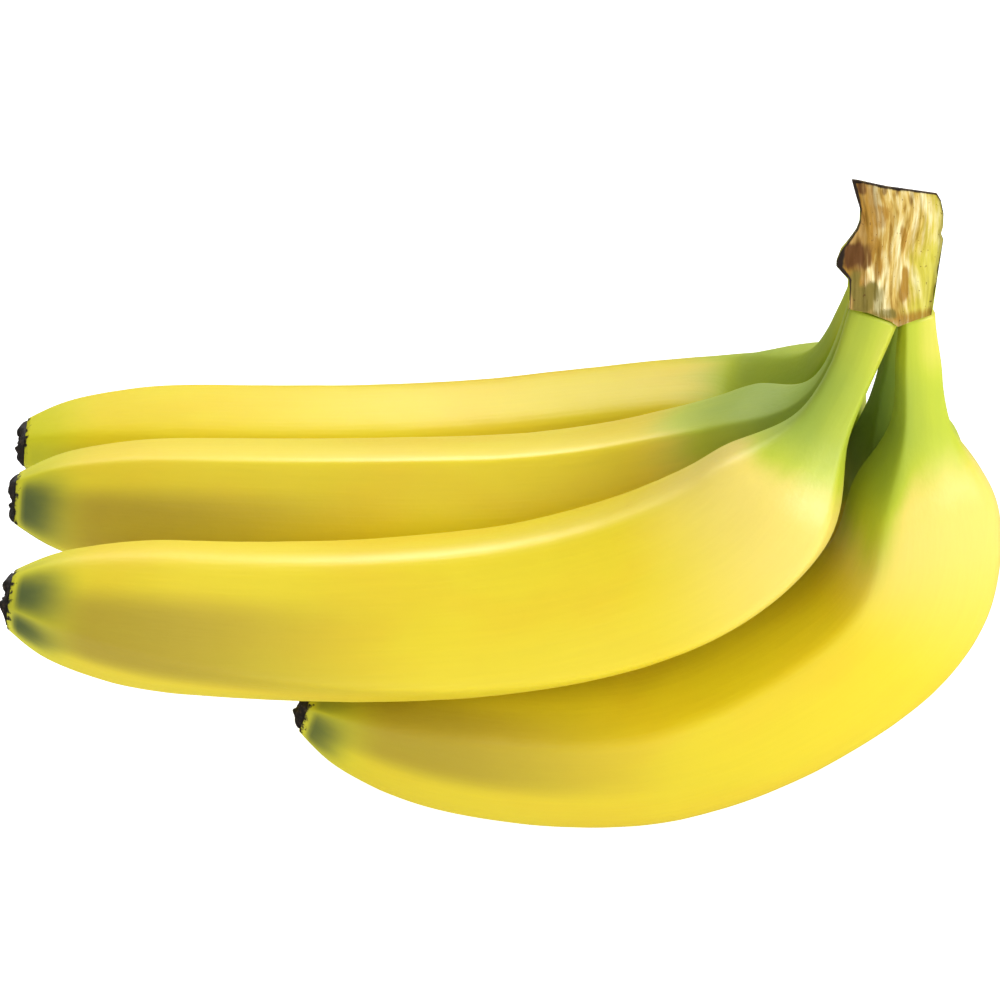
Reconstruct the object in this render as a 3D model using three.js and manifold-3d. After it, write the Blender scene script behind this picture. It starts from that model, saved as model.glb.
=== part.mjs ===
// A bunch of five bananas, lying on its bellies as it is set down on a table. Millimetres, +Z up.
// Three fingers of the inner row lie over two of the outer row. All five grow from one cut crown, at the
// right and on top, and each ends in the dry black remains of its flower.
import * as THREE from "three";
import Module from "manifold-3d";

const wasm = await Module();
wasm.setup();

// Driving dimensions of a large dessert banana
const GIRTH = 21; // radius of the front finger over its ridges, where it is thickest
const FLATNESS = 0.42; // 0 for a round finger, 1 for flat faces between the ridges
const FLOWER_RADIUS = 6.3; // the dry flower end
const FLOWER_LENGTH = 3.4;
const FLOWER_STEPS = [[0, 0.97], [0.35, 1], [0.8, 0.86], [1, 0.6]]; // share of its length, and of its radius
const GAP = 0.3; // between pieces that meet

// Sets the middle of the bunch's box over the origin
const CENTRE = [0.8, -2.5, 0];

const FINGER_RINGS = 34;
const FACES = 5;
const POINTS_PER_FACE = 4;

// Radius along a finger, as a share of its girth: thin stalk, shoulder, full body, blunt tip
const PROFILE = {
  along: [0, 0.05, 0.1, 0.135, 0.2, 0.25, 0.32, 0.45, 0.62, 0.8, 0.87, 0.935, 0.97, 1],
  radius: [0.265, 0.26, 0.28, 0.37, 0.785, 0.91, 0.98, 1, 0.975, 0.905, 0.85, 0.695, 0.545, 0.33],
};

// Each finger's axis runs from inside the crown to its flower end, and its stalk is a share of the usual
// stalk's width where it leaves the crown. Ridges are angles in degrees round the axis, from its convex
// back towards the near side, at the crown and at the tip. Rounding is how many degrees each crest takes.
const STALK_END = 0.07; // share of the length over which a stalk comes to its usual width
const FINGERS = [
  {
    name: "front",
    girth: GIRTH,
    stalk: 1.1,
    ridges: { atCrown: [-30, 57, 160, 225, 290], atTip: [18, 101, 165, 235, 300], rounding: [6, 4, 16, 6, 6] },
    axis: [
      [84.7, -33.3, 132.5], [81.3, -34, 121.5], [75, -35.7, 107], [61.8, -38, 86.2],
      [32, -38, 67], [-20, -38, 57.5], [-65, -38, 58.5], [-107, -38, 64],
    ],
  },
  {
    name: "middle",
    girth: GIRTH * 0.935,
    stalk: 1,
    ridges: { atCrown: [-30, 45, 158, 225, 290], atTip: [-5, 60, 158, 225, 290], rounding: [6, 6, 4, 6, 6] },
    axis: [
      [85, -21.6, 130.5], [82, -19, 116.5], [74.2, -12.7, 96], [55, -2.4, 77.2],
      [17, 2.5, 65.5], [-21, 2.5, 64], [-68, 2.5, 65.5], [-110.5, 2.5, 68.5],
    ],
  },
  {
    name: "back",
    girth: GIRTH * 0.93,
    stalk: 1,
    ridges: { atCrown: [-45, 27, 137, 207, 272], atTip: [-7, 73, 128, 200, 273], rounding: [6, 6, 12, 8, 6] },
    axis: [
      [86, -9.6, 126], [80.2, 10.7, 97.6], [67.6, 33.3, 72.6], [41, 41.5, 64.6],
      [3, 42.5, 59.8], [-46, 42.5, 59], [-95, 42, 62], [-113.5, 41.5, 63.5],
    ],
  },
  {
    name: "low_front",
    girth: GIRTH * 0.965,
    stalk: 0.76,
    ridges: { atCrown: [-45, 25, 128, 205, 290], atTip: [-25, 20, 112, 190, 270], rounding: [6, 14, 6, 6, 6] },
    axis: [
      [93.5, -33, 132], [95.4, -31.2, 113], [97.4, -29.3, 94], [96.1, -27.6, 63],
      [72.5, -27, 36.3], [37, -26, 19.4], [-4, -26, 20.1], [-42, -26, 29.4],
    ],
  },
  {
    name: "low_back",
    girth: GIRTH * 0.82,
    stalk: 0.95,
    ridges: { atCrown: [-30, 45, 140, 215, 285], atTip: [-5, 60, 140, 215, 285], rounding: [6, 6, 6, 6, 6] },
    axis: [
      [94.8, -16.5, 127], [93.6, -12, 112], [93.4, -5.6, 95], [98.8, 6, 70],
      [82, 14, 41.5], [56, 18, 21], [22, 20, 15.5], [-16, 20, 16.2], [-56, 19, 24],
    ],
  },
];

// The crown's cut side as seen from the near side, x and height from the middle of its lower edge
const CROWN_OUTLINE = [
  [-10.1, 2], [-10.1, 6.7], [-10.3, 8.7], [-12.9, 11.6], [-12.9, 12.9], [-12, 15.6], [-10.3, 17.8],
  [-8.8, 20], [-8.2, 21.8], [-8.2, 24.4], [-9.4, 27.8], [-10.3, 30.9], [-8.8, 30.7], [-2.4, 29.3],
  [0.9, 28.9], [8.4, 27.8], [9.4, 26.2], [10.1, 23.3], [10.1, 20.4], [9.7, 18.8], [10.2, 17.6],
  [9.4, 11.1], [8.2, 0.7], [4.1, -0.7], [0.9, -2], [-0.6, -0.9], [-5.6, 1.1],
];
const CROWN_PLACE = [88, -39, 133];
const CROWN_DEPTH = 37;
const CROWN_HEIGHT = 31;
const CROWN_DROP = 0.42; // share of its height that it has lost at the back
const CROWN_NARROWING = 0.4; // and share of its width at the top
const CROWN_LEAN = 3.3; // towards the right, at the back
const CROWN_TILT = 12; // degrees that the crown falls away towards the back
// Share of the depth, and of the width there
const CROWN_STEPS = [[0, 0.97], [0.04, 1], [0.33, 1], [0.67, 1], [0.95, 0.98], [1, 0.9]];

const FINISHES = {
  peel: { color: 0xf0d324, roughness: 0.45, metalness: 0 },
  cutCrown: { color: 0xcdb76c, roughness: 0.8, metalness: 0 },
  dryFlower: { color: 0x2a1f14, roughness: 0.9, metalness: 0 },
};

const rad = THREE.MathUtils.degToRad;

// Second derivatives of the natural cubic spline through the values at the knots
function splineBends(knots, values) {
  const last = knots.length - 1;
  const upper = new Array(last + 1).fill(0);
  const bends = new Array(last + 1).fill(0);
  for (let i = 1; i < last; i++) {
    const before = knots[i] - knots[i - 1];
    const after = knots[i + 1] - knots[i];
    const turn = (values[i + 1] - values[i]) / after - (values[i] - values[i - 1]) / before;
    const pivot = 2 * (before + after) - before * upper[i - 1];
    upper[i] = after / pivot;
    bends[i] = (6 * turn - before * bends[i - 1]) / pivot;
  }
  for (let i = last - 1; i > 0; i--) bends[i] -= upper[i] * bends[i + 1];
  return bends;
}

// A smooth function through the values at the knots
function smooth(knots, values) {
  const bends = splineBends(knots, values);
  return (t) => {
    let i = 0;
    while (i < knots.length - 2 && t > knots[i + 1]) i++;
    const step = knots[i + 1] - knots[i];
    const a = (knots[i + 1] - t) / step;
    const b = 1 - a;
    const bow = ((a ** 3 - a) * bends[i] + (b ** 3 - b) * bends[i + 1]) * step ** 2 / 6;
    return a * values[i] + b * values[i + 1] + bow;
  };
}

// A smooth curve through hand-set points
class AxisCurve extends THREE.Curve {
  constructor(points) {
    super();
    const knots = [0];
    points.slice(1).forEach((p, i) => {
      knots.push(knots[i] + Math.hypot(...p.map((value, k) => value - points[i][k])));
    });
    this.span = knots.at(-1);
    this.coordinates = [0, 1, 2].map((k) => smooth(knots, points.map((p) => p[k])));
  }

  getPoint(t, target = new THREE.Vector3()) {
    return target.set(...this.coordinates.map((f) => f(t * this.span)));
  }
}

// How far the skin reaches from the axis, as a share of the radius, on a face so many degrees wide and
// so many degrees off its nearer ridge: between the round section and the straight chord
function reachShare(degreesOff, width, rounding) {
  const soft = (degrees) => Math.hypot(degrees, rounding) - rounding;
  const inFromRidge = (width / 2) * soft(degreesOff) / soft(width / 2);
  const chord = Math.cos(rad(width / 2)) / Math.cos(rad(width / 2 - inFromRidge));
  return 1 - FLATNESS * (1 - chord);
}

function ridgeAngle(ridges, k, share) {
  return THREE.MathUtils.lerp(ridges.atCrown[k], ridges.atTip[k], share ** 2);
}

// One closed ring of points round the axis, square to it, at a share of the finger's length
function ring(centre, tangent, radius, ridges, share) {
  const side = new THREE.Vector3(0, -1, 0).addScaledVector(tangent, tangent.y).normalize();
  const back = side.clone().cross(tangent);
  const points = [];
  for (let k = 0; k < FACES; k++) {
    const next = (k + 1) % FACES;
    const from = ridgeAngle(ridges, k, share);
    const to = ridgeAngle(ridges, next, share) + (next === 0 ? 360 : 0);
    for (let j = 0; j < POINTS_PER_FACE; j++) {
      const angle = THREE.MathUtils.lerp(from, to, j / POINTS_PER_FACE);
      const rounding = ridges.rounding[j < POINTS_PER_FACE / 2 ? k : next];
      const reach = radius * reachShare(Math.min(angle - from, to - angle), to - from, rounding);
      const point = centre.clone()
        .addScaledVector(back, reach * Math.cos(rad(angle)))
        .addScaledVector(side, reach * Math.sin(rad(angle)));
      points.push(point);
    }
  }
  return points;
}

// Joins rings into one closed skin, with a point in the middle of each end. The rings' points run
// anticlockwise as seen by someone who looks back along the row of rings.
function skin(rings) {
  const sides = rings[0].length;
  const middles = [rings[0], rings.at(-1)].map((points) =>
    points.reduce((sum, p) => sum.add(p), new THREE.Vector3()).divideScalar(sides));
  const points = [...rings.flat(), ...middles];
  const first = points.length - 2;
  const last = points.length - 1;
  const end = (rings.length - 1) * sides;
  const index = [];
  for (let j = 0; j < sides; j++) {
    const next = (j + 1) % sides;
    index.push(first, next, j, last, end + j, end + next);
    for (let start = 0; start < end; start += sides) {
      index.push(start + j, start + next, start + sides + j);
      index.push(start + next, start + sides + next, start + sides + j);
    }
  }
  return new THREE.BufferGeometry().setFromPoints(points).setIndex(index);
}

function solid(geometry) {
  const mesh = new wasm.Mesh({
    numProp: 3,
    vertProperties: geometry.attributes.position.array,
    triVerts: new Uint32Array(geometry.index.array),
  });
  return new wasm.Manifold(mesh);
}

function geometryOf(made) {
  const mesh = made.getMesh();
  const geometry = new THREE.BufferGeometry();
  geometry.setAttribute("position", new THREE.BufferAttribute(mesh.vertProperties, 3));
  geometry.setIndex(new THREE.BufferAttribute(mesh.triVerts, 1));
  return geometry;
}

const radiusShare = smooth(PROFILE.along, PROFILE.radius);

function fingerGeometry(finger) {
  const curve = new AxisCurve(finger.axis);
  const rings = [];
  for (let i = 0; i <= FINGER_RINGS; i++) {
    const t = i / FINGER_RINGS;
    const stalk = THREE.MathUtils.lerp(finger.stalk, 1, THREE.MathUtils.smoothstep(t, 0, STALK_END));
    const radius = finger.girth * stalk * radiusShare(t);
    rings.push(ring(curve.getPointAt(t), curve.getTangentAt(t), radius, finger.ridges, t));
  }
  return skin(rings);
}

// The dry flower end: a ragged button that carries the finger's line on
function flowerGeometry(finger) {
  const curve = new AxisCurve(finger.axis);
  const tangent = curve.getTangentAt(1);
  const base = curve.getPointAt(1).addScaledVector(tangent, GAP);
  const rings = FLOWER_STEPS.map(([share, width]) => {
    const centre = base.clone().addScaledVector(tangent, share * FLOWER_LENGTH);
    return ring(centre, tangent, FLOWER_RADIUS * width, finger.ridges, 1);
  });
  return skin(rings);
}

// The crown: its cut outline carried back over the row of stalks, grown all round by a margin. Towards the
// back it leans to the right and gets lower and narrower, but keeps its width where the stalks leave it.
function crownGeometry(margin) {
  const tilt = rad(CROWN_TILT);
  const upward = new THREE.Vector3(0, Math.sin(tilt), Math.cos(tilt));
  const backward = new THREE.Vector3(0, Math.cos(tilt), -Math.sin(tilt));
  const middle = new THREE.Vector2(0, CROWN_HEIGHT / 3);
  const rings = CROWN_STEPS.map(([share, width]) => {
    const depth = THREE.MathUtils.lerp(-margin, CROWN_DEPTH + margin, share);
    return CROWN_OUTLINE.map(([x, height]) => {
      const narrowing = 1 - CROWN_NARROWING * share * (height / CROWN_HEIGHT);
      const point = new THREE.Vector2(x * narrowing, height * (1 - CROWN_DROP * share)).sub(middle);
      point.setLength(point.length() * width + margin).add(middle);
      return new THREE.Vector3(...CROWN_PLACE)
        .add(new THREE.Vector3(point.x + CROWN_LEAN * share, 0, 0))
        .addScaledVector(upward, point.y)
        .addScaledVector(backward, depth);
    });
  });
  return skin(rings);
}

function piece(name, geometry, finish) {
  geometry.computeVertexNormals();
  const mesh = new THREE.Mesh(geometry, new THREE.MeshStandardMaterial(finish));
  mesh.name = name;
  return mesh;
}

const bunch = new THREE.Group();
bunch.add(piece("crown", crownGeometry(0), FINISHES.cutCrown));
const crownRoom = solid(crownGeometry(GAP));
for (const finger of FINGERS) {
  const grown = solid(fingerGeometry(finger)).subtract(crownRoom);
  const trimmed = grown.trimByPlane([0, 0, 1], 0); // bellies flatten against the surface below
  bunch.add(piece("banana_" + finger.name, geometryOf(trimmed), FINISHES.peel));
  bunch.add(piece("flower_end_" + finger.name, flowerGeometry(finger), FINISHES.dryFlower));
}
bunch.position.set(...CENTRE);

export default bunch;
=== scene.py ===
"""A bunch of five bananas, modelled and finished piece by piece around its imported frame. Metres, +Z up."""

import math

import bpy
import numpy as np
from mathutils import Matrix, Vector, noise


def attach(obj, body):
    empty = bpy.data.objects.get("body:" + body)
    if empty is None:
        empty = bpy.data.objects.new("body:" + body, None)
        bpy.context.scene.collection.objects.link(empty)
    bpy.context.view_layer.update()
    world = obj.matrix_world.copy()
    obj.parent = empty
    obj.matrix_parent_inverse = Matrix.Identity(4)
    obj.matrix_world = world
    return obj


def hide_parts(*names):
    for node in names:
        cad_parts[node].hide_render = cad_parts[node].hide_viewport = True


bl_info = {
    "name": "Bunch of bananas",
    "version": (1, 0, 0),
    "blender": (4, 5, 0),
    "location": "View3D > Sidebar > Bananas",
    "description": "Models the fingers, the cut crown and the dry flower ends of a bunch of bananas",
    "category": "Add Mesh",
}

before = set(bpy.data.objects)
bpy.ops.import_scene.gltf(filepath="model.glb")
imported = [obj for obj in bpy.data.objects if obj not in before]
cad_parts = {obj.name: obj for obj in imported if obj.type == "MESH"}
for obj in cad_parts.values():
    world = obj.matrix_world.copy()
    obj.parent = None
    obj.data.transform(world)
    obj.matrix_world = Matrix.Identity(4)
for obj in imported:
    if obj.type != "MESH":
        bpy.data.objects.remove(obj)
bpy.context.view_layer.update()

MM = 0.001
BODY = "root"
CENTRE = np.array([0.8, -2.5, 0]) * MM

# Every finger's axis runs from inside the crown to its flower end, in millimetres. The girth is a share
# of the front finger's, and the stalk a share of the usual stalk's where it leaves the crown. Ridges are
# angles in degrees round the axis, from its convex back towards the near side, at the crown and at the
# tip, and rounding is how many degrees each crest takes. Ripeness is 0 on a green stalk and 1 on yellow
# peel: its least, and the shares of the length where it grows. The inner side, from an angle on, stays
# green up to a share of the length. The tip is how far from the flower end a side is dark green, how
# dark, and the angle of that side: the tip's own green, deepened by painted shade on that side. The
# next is the angle of the side that gets painted shade towards the tip, and wax how much the peel shines.
FINGERS = {
    "front": {
        "girth": 1,
        "stalk": 1.1,
        "ridges": [(-30, 57, 160, 225, 290), (18, 101, 165, 235, 300)],
        "rounding": (6, 4, 16, 6, 6),
        "ripeness": (0.34, 0.13, 0.205),
        "inner_green": (200, 0.2),
        "tip": (20, 0.95, 104),
        "painted_shade_side": 98,
        "wax": 1,
        "axis": [
            (84.7, -33.3, 132.5), (81.3, -34, 121.5), (75, -35.7, 107), (61.8, -38, 86.2),
            (32, -38, 67), (-20, -38, 57.5), (-65, -38, 58.5), (-107, -38, 64),
        ],
    },
    "middle": {
        "girth": 0.935,
        "stalk": 1,
        "ridges": [(-30, 45, 158, 225, 290), (-5, 60, 158, 225, 290)],
        "rounding": (6, 6, 4, 6, 6),
        "ripeness": (0.3, 0.14, 0.37),
        "inner_green": (165, 0.38),
        "tip": (19, 0.9, 95),
        "painted_shade_side": 96,
        "wax": 1,
        "axis": [
            (85, -21.6, 130.5), (82, -19, 116.5), (74.2, -12.7, 96), (55, -2.4, 77.2),
            (17, 2.5, 65.5), (-21, 2.5, 64), (-68, 2.5, 65.5), (-110.5, 2.5, 68.5),
        ],
    },
    "back": {
        "girth": 0.93,
        "stalk": 1,
        "ridges": [(-45, 27, 137, 207, 272), (-7, 73, 128, 200, 273)],
        "rounding": (6, 6, 12, 8, 6),
        "ripeness": (0.46, 0.2, 0.4),
        "inner_green": (200, 0.44),
        "tip": (7, 0.3, 55),
        "painted_shade_side": 80,
        "wax": 0.45,
        "axis": [
            (86, -9.6, 126), (80.2, 10.7, 97.6), (67.6, 33.3, 72.6), (41, 41.5, 64.6),
            (3, 42.5, 59.8), (-46, 42.5, 59), (-95, 42, 62), (-113.5, 41.5, 63.5),
        ],
    },
    "low_front": {
        "girth": 0.965,
        "stalk": 0.76,
        "ridges": [(-45, 25, 128, 205, 290), (-25, 20, 112, 190, 270)],
        "rounding": (6, 14, 6, 6, 6),
        "ripeness": (0.42, 0.12, 0.205),
        "inner_green": (118, 0.33),
        "tip": (17, 0.8, 80),
        "painted_shade_side": 110,
        "wax": 0.75,
        "axis": [
            (93.5, -33, 132), (95.4, -31.2, 113), (97.4, -29.3, 94), (96.1, -27.6, 63),
            (72.5, -27, 36.3), (37, -26, 19.4), (-4, -26, 20.1), (-42, -26, 29.4),
        ],
    },
    "low_back": {
        "girth": 0.82,
        "stalk": 0.95,
        "ridges": [(-30, 45, 140, 215, 285), (-5, 60, 140, 215, 285)],
        "rounding": (6, 6, 6, 6, 6),
        "ripeness": (0.1, 0.14, 0.3),
        "inner_green": (160, 0.4),
        "tip": (13, 0.8, 55),
        "painted_shade_side": 100,
        "wax": 1,
        "axis": [
            (94.8, -16.5, 127), (93.6, -12, 112), (93.4, -5.6, 95), (98.8, 6, 70), (82, 14, 41.5),
            (56, 18, 21), (22, 20, 15.5), (-16, 20, 16.2), (-56, 19, 24),
        ],
    },
}

# Radius along a finger, as a share of its girth: thin stalk, shoulder, full body, blunt tip
PROFILE_ALONG = (0, 0.05, 0.1, 0.135, 0.2, 0.25, 0.32, 0.45, 0.62, 0.8, 0.87, 0.935, 0.97, 1)
PROFILE_RADIUS = (0.265, 0.26, 0.28, 0.37, 0.785, 0.91, 0.98, 1, 0.975, 0.905, 0.85, 0.695, 0.545, 0.33)
STALK_END = 0.07  # share of the length over which a stalk comes to its usual width

FACES = 5
RIDGE_CROWDING = 0.12  # how far the points of a face are drawn towards its two ridges
FINGER_SEGMENTS = 24 * FACES
FINGER_ROWS = 260
HOLLOW_WIDTH = 18  # millimetres across the shallow hollows in the peel

# Where a change of the peel begins, and where it is full
# The pale peel beside the shoulder is a painted sheen, in place of a highlight
PAINTED_SHEEN_ALONG = (0.38, 0.21)  # shares of the length, beside the shoulder
YELLOWER_ALONG = (0.085, 0.03)  # shares of the length, where the stalk comes out of the crown
# Painted shade on one side, and the worn wax, towards the tip
SHADE_AND_WEAR_TO_TIP = (0.1, 0.03)  # metres from the tip
INNER_SOFTNESS = 12  # degrees on either side of the angle from which the inner side is greener
INNER_END = (340, 300)  # degrees round the axis, at the other edge of that side
# The tip's dark green, partly painted shade, is weaker along the ridges
RIDGE_FADE = 9  # degrees off a ridge over which the tip's dark green comes back

# The dry flower end, outside and then back into its hollow: shares of its length and of its radius
FLOWER_PROFILE = (
    (-0.35, 0.85), (0, 0.97), (0.3, 1), (0.6, 0.93), (0.75, 0.76), (0.68, 0.52), (0.5, 0.34), (0.5, 0.12),
)
FLOWER_SEGMENTS = 80
FLOWER_ROWS = 30

# The crown's cut side in four edges, x and height in millimetres from the middle of its lower edge
CROWN_LEFT = (
    (-10.1, 2), (-10.1, 6.7), (-10.3, 8.7), (-12.9, 11.6), (-12.9, 12.9), (-12, 15.6), (-10.3, 17.8),
    (-8.8, 20), (-8.2, 21.8), (-8.2, 24.4), (-9.4, 27.8), (-10.3, 30.9),
)
CROWN_TOP = ((-10.3, 30.9), (-8.8, 30.7), (-2.4, 29.3), (0.9, 28.9), (8.4, 27.8), (9.4, 26.2))
CROWN_RIGHT = (
    (8.2, 0.7), (9.4, 11.1), (10.2, 17.6), (9.7, 18.8), (10.1, 20.4), (10.1, 23.3), (9.4, 26.2),
)
CROWN_BOTTOM = ((-10.1, 2), (-5.6, 1.1), (-0.6, -0.9), (0.9, -2), (4.1, -0.7), (8.2, 0.7))
CROWN_PLACE = (88, -39, 133)  # millimetres, the middle of that edge
CROWN_WIDTH = 20
CROWN_HEIGHT = 31
CROWN_DROP = 0.42  # share of its height that it has lost at the back
CROWN_NARROWING = 0.4  # and share of its width at the top
CROWN_LEAN = 3.3  # millimetres towards the right, at the back
CROWN_DEPTHS = (0, 0.04, 0.33, 0.67, 0.95, 1)
CROWN_WIDTHS = (0.97, 1, 1, 1, 0.98, 0.9)
CROWN_CUTS = 79

# How far the scorched edge reaches in, in millimetres, at even shares up each side and along the top
LEFT_CHAR = (0.3, 0.3, 0.4, 0.9, 1.1, 0.8, 0.5, 0.4, 0.35, 0.45, 0.8, 0.9)
RIGHT_CHAR = (0.1, 0.1, 0.2, 0.2, 0.3, 0.2, 0, 0, 0.1, 0.1, 0.1)
TOP_CHAR = (0.9, 0.4, 0.3, 0.5, 0.35, 0.25, 0.3, 0.15, 0.15)

# Marks on the cut, in millimetres: x and height of the middle, half width and half height, and strength
SAP_MARKS = (
    (-9.2, 14.2, 2.2, 3.4, 1), (-6.4, 13.6, 1.4, 2.6, 0.7), (-7.6, 28.4, 1, 1.8, 0.8),
    (-5.2, 28.4, 0.7, 1.6, 0.5), (-3, 28.4, 0.5, 1.4, 0.6), (-0.2, 27.6, 0.5, 1.8, 0.6),
    (2.9, 27, 0.4, 1.7, 0.5), (-7.4, 20, 0.8, 3, 0.4),
)
GOLD_MARKS = (
    (1.8, 7.6, 0.9, 4, 0.9), (1.4, 17.5, 0.7, 2.6, 0.8), (-4.6, 22, 2.4, 4.5, 0.9), (-6, 16, 2, 4.5, 1),
    (-3.6, 11, 1.2, 4, 0.8), (5.4, 24, 0.6, 3, 0.4), (-1.4, 14.6, 0.5, 3, 0.5), (-1, 21, 0.4, 2.6, 0.5),
)
OLIVE_MARKS = ((-6.4, 4.6, 4, 4.2, 1), (-8.8, 8, 1.6, 3, 0.9), (-3, 1, 3, 1.2, 0.8), (-9, 22, 0.8, 3, 0.5))

# The stage, in millimetres
CAMERA_TARGET = (3.8, -39.5, 88.3)
KEY_PLACE = (420, -420, 420)
KEY_SIZE = 360
FLOOR_SIZE = 8000

# Directions of the room's bright side and of its ceiling light, and how small that light is
BRIGHT_SIDE = (0.62, -0.35, 0.7)
CEILING_LIGHT = (-0.05, 0.6, 0.8)
CEILING_TIGHTNESS = 20


def linear(colour):
    """An sRGB hex value as linear red, green, blue and alpha."""
    shares = [(colour >> shift & 255) / 255 for shift in (16, 8, 0)]
    return tuple(c / 12.92 if c <= 0.04045 else ((c + 0.055) / 1.055) ** 2.4 for c in shares) + (1.0,)


def length(name, default, description):
    """A size that a user may change."""
    return bpy.props.FloatProperty(
        name=name, description=description, default=default, min=0, unit="LENGTH",
    )


def colour(name, default, description):
    """A colour that a user may change."""
    return bpy.props.FloatVectorProperty(
        name=name, description=description, default=linear(default), size=4, min=0, max=1, subtype="COLOR",
    )


class BunchSizes(bpy.types.PropertyGroup):
    """Sizes of the bunch's pieces."""

    girth: length("Girth", 21 * MM, "Radius of the front finger over its ridges")
    flatness: bpy.props.FloatProperty(
        name="Flatness", description="0 for round fingers, 1 for flat faces between their ridges",
        default=0.55, min=0, max=1, subtype="FACTOR",
    )
    waviness: length("Waviness", 0.35 * MM, "How deep the shallow hollows in the peel are")
    flower_radius: length("Flower end radius", 6.3 * MM, "Radius of the dry flower end")
    flower_length: length("Flower end length", 3.4 * MM, "Length of the dry flower end")
    crown_depth: length("Crown depth", 37 * MM, "Depth of the crown over its row of stalks")
    crown_tilt: bpy.props.FloatProperty(
        name="Crown tilt", description="How steeply the crown falls away towards the back",
        default=math.radians(12), subtype="ANGLE",
    )
    fibre_depth: length("Fibre depth", 0.7 * MM, "Depth of the grooves between the crown's torn fibres")


class BunchColours(bpy.types.PropertyGroup):
    """Colours of the bunch's finishes."""

    ripe: colour("Ripe peel", 0xD2BE19, "Peel of a finger's body")
    glow: colour("Warm peel", 0xD2B519, "Patches that have ripened furthest")
    # A painted sheen: pale peel beside the shoulder, in place of a highlight
    painted_sheen: colour("Pale peel", 0xD3BF5A, "Peel beside the shoulder")
    # Painted shade: a darker mustard on the near side, towards the flower end
    painted_shade_mustard: colour("Dull peel", 0xA6911A, "Duller side of a finger, towards its flower end")
    turning: colour("Turning peel", 0xA8B225, "Peel of the shoulder, between green and yellow")
    stalk: colour("Stalk", 0x7A9333, "Peel of the stalk")
    fresh: colour("Fresh tip", 0xC0C220, "Peel round the flower end")
    # Green tip: the tip's own dark green, deepened by painted shade on one side
    tip: colour("Green tip", 0x4C5A26, "Unripe faces beside the flower end")
    dry: colour("Dry flower", 0x17100B, "The flower end and the peel's dried rim")
    dust: colour("Dry flower edges", 0x4A3A26, "Worn edges of the flower end")
    cream: colour("Fresh fibres", 0xD6CB9A, "Pale fibres of the cut crown")
    tan: colour("Dry fibres", 0xB5994E, "Dry fibres of the cut crown")
    gold: colour("Stained fibres", 0x8C6418, "Fibres stained by dried sap")
    olive: colour("Moist fibres", 0x665C22, "Fibres beside the stalks that are not dry yet")
    sap: colour("Living rim", 0xB4AE38, "Yellow-green side of the crown that is still fresh")
    brown: colour("Dried sap", 0x4E2B0C, "Blots of dried sap")
    scorch: colour("Scorched edge", 0x1C1006, "Edges of the cut that have dried first")


class BunchStage(bpy.types.PropertyGroup):
    """The camera, the lights and the floor."""

    distance: length("Camera distance", 740.7 * MM, "From the lens to the middle of the picture")
    elevation: bpy.props.FloatProperty(
        name="Camera elevation", description="Angle of the view above the floor",
        default=math.radians(27), subtype="ANGLE",
    )
    key: bpy.props.FloatProperty(name="Key light", description="Power in watts", default=3.7, min=0)
    dim: bpy.props.FloatProperty(name="Dim side", description="Light from the left and below", default=0.08)
    bright: bpy.props.FloatProperty(
        name="Bright side", description="Light from the right and above", default=0.68,
    )
    ceiling: bpy.props.FloatProperty(
        name="Ceiling light", description="Strength of the broad light above the bunch", default=9,
    )
    glow: bpy.props.FloatProperty(name="Table glow", description="Light from the table", default=1.05)
    floor: colour("Floor", 0xA8A8A8, "Colour of the table in the light from above")


def add(tree, kind, values=None, links=None, stops=None, **settings):
    """Adds a shader node with its settings, its sockets' values, its links and its colour stops."""
    node = tree.nodes.new("ShaderNode" + kind)
    for name, value in settings.items():
        setattr(node, name, value)
    for socket, value in (values or {}).items():
        node.inputs[socket].default_value = value
    for socket, source in (links or {}).items():
        tree.links.new(source, node.inputs[socket])
    for place, shade in stops or ():
        used = len(node.color_ramp.elements)
        first = place == stops[0][0]
        last = place == stops[-1][0]
        stop = node.color_ramp.elements[0] if first else (
            node.color_ramp.elements[used - 1] if last else node.color_ramp.elements.new(place))
        stop.position = place
        stop.color = shade
    return node


# Sockets of the Mix node for colours, whose names repeat for each kind of value
MIX_FACTOR = 0
MIX_A = 6
MIX_B = 7
MIX_RESULT = 2


def new_material(name):
    """An empty node material with its shader and output, as (material, tree, shader)."""
    material = bpy.data.materials.new(name)
    material.use_nodes = True
    tree = material.node_tree
    tree.nodes.clear()
    shader = add(tree, "BsdfPrincipled")
    add(tree, "OutputMaterial", links={"Surface": shader.outputs["BSDF"]})
    return material, tree, shader


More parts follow.
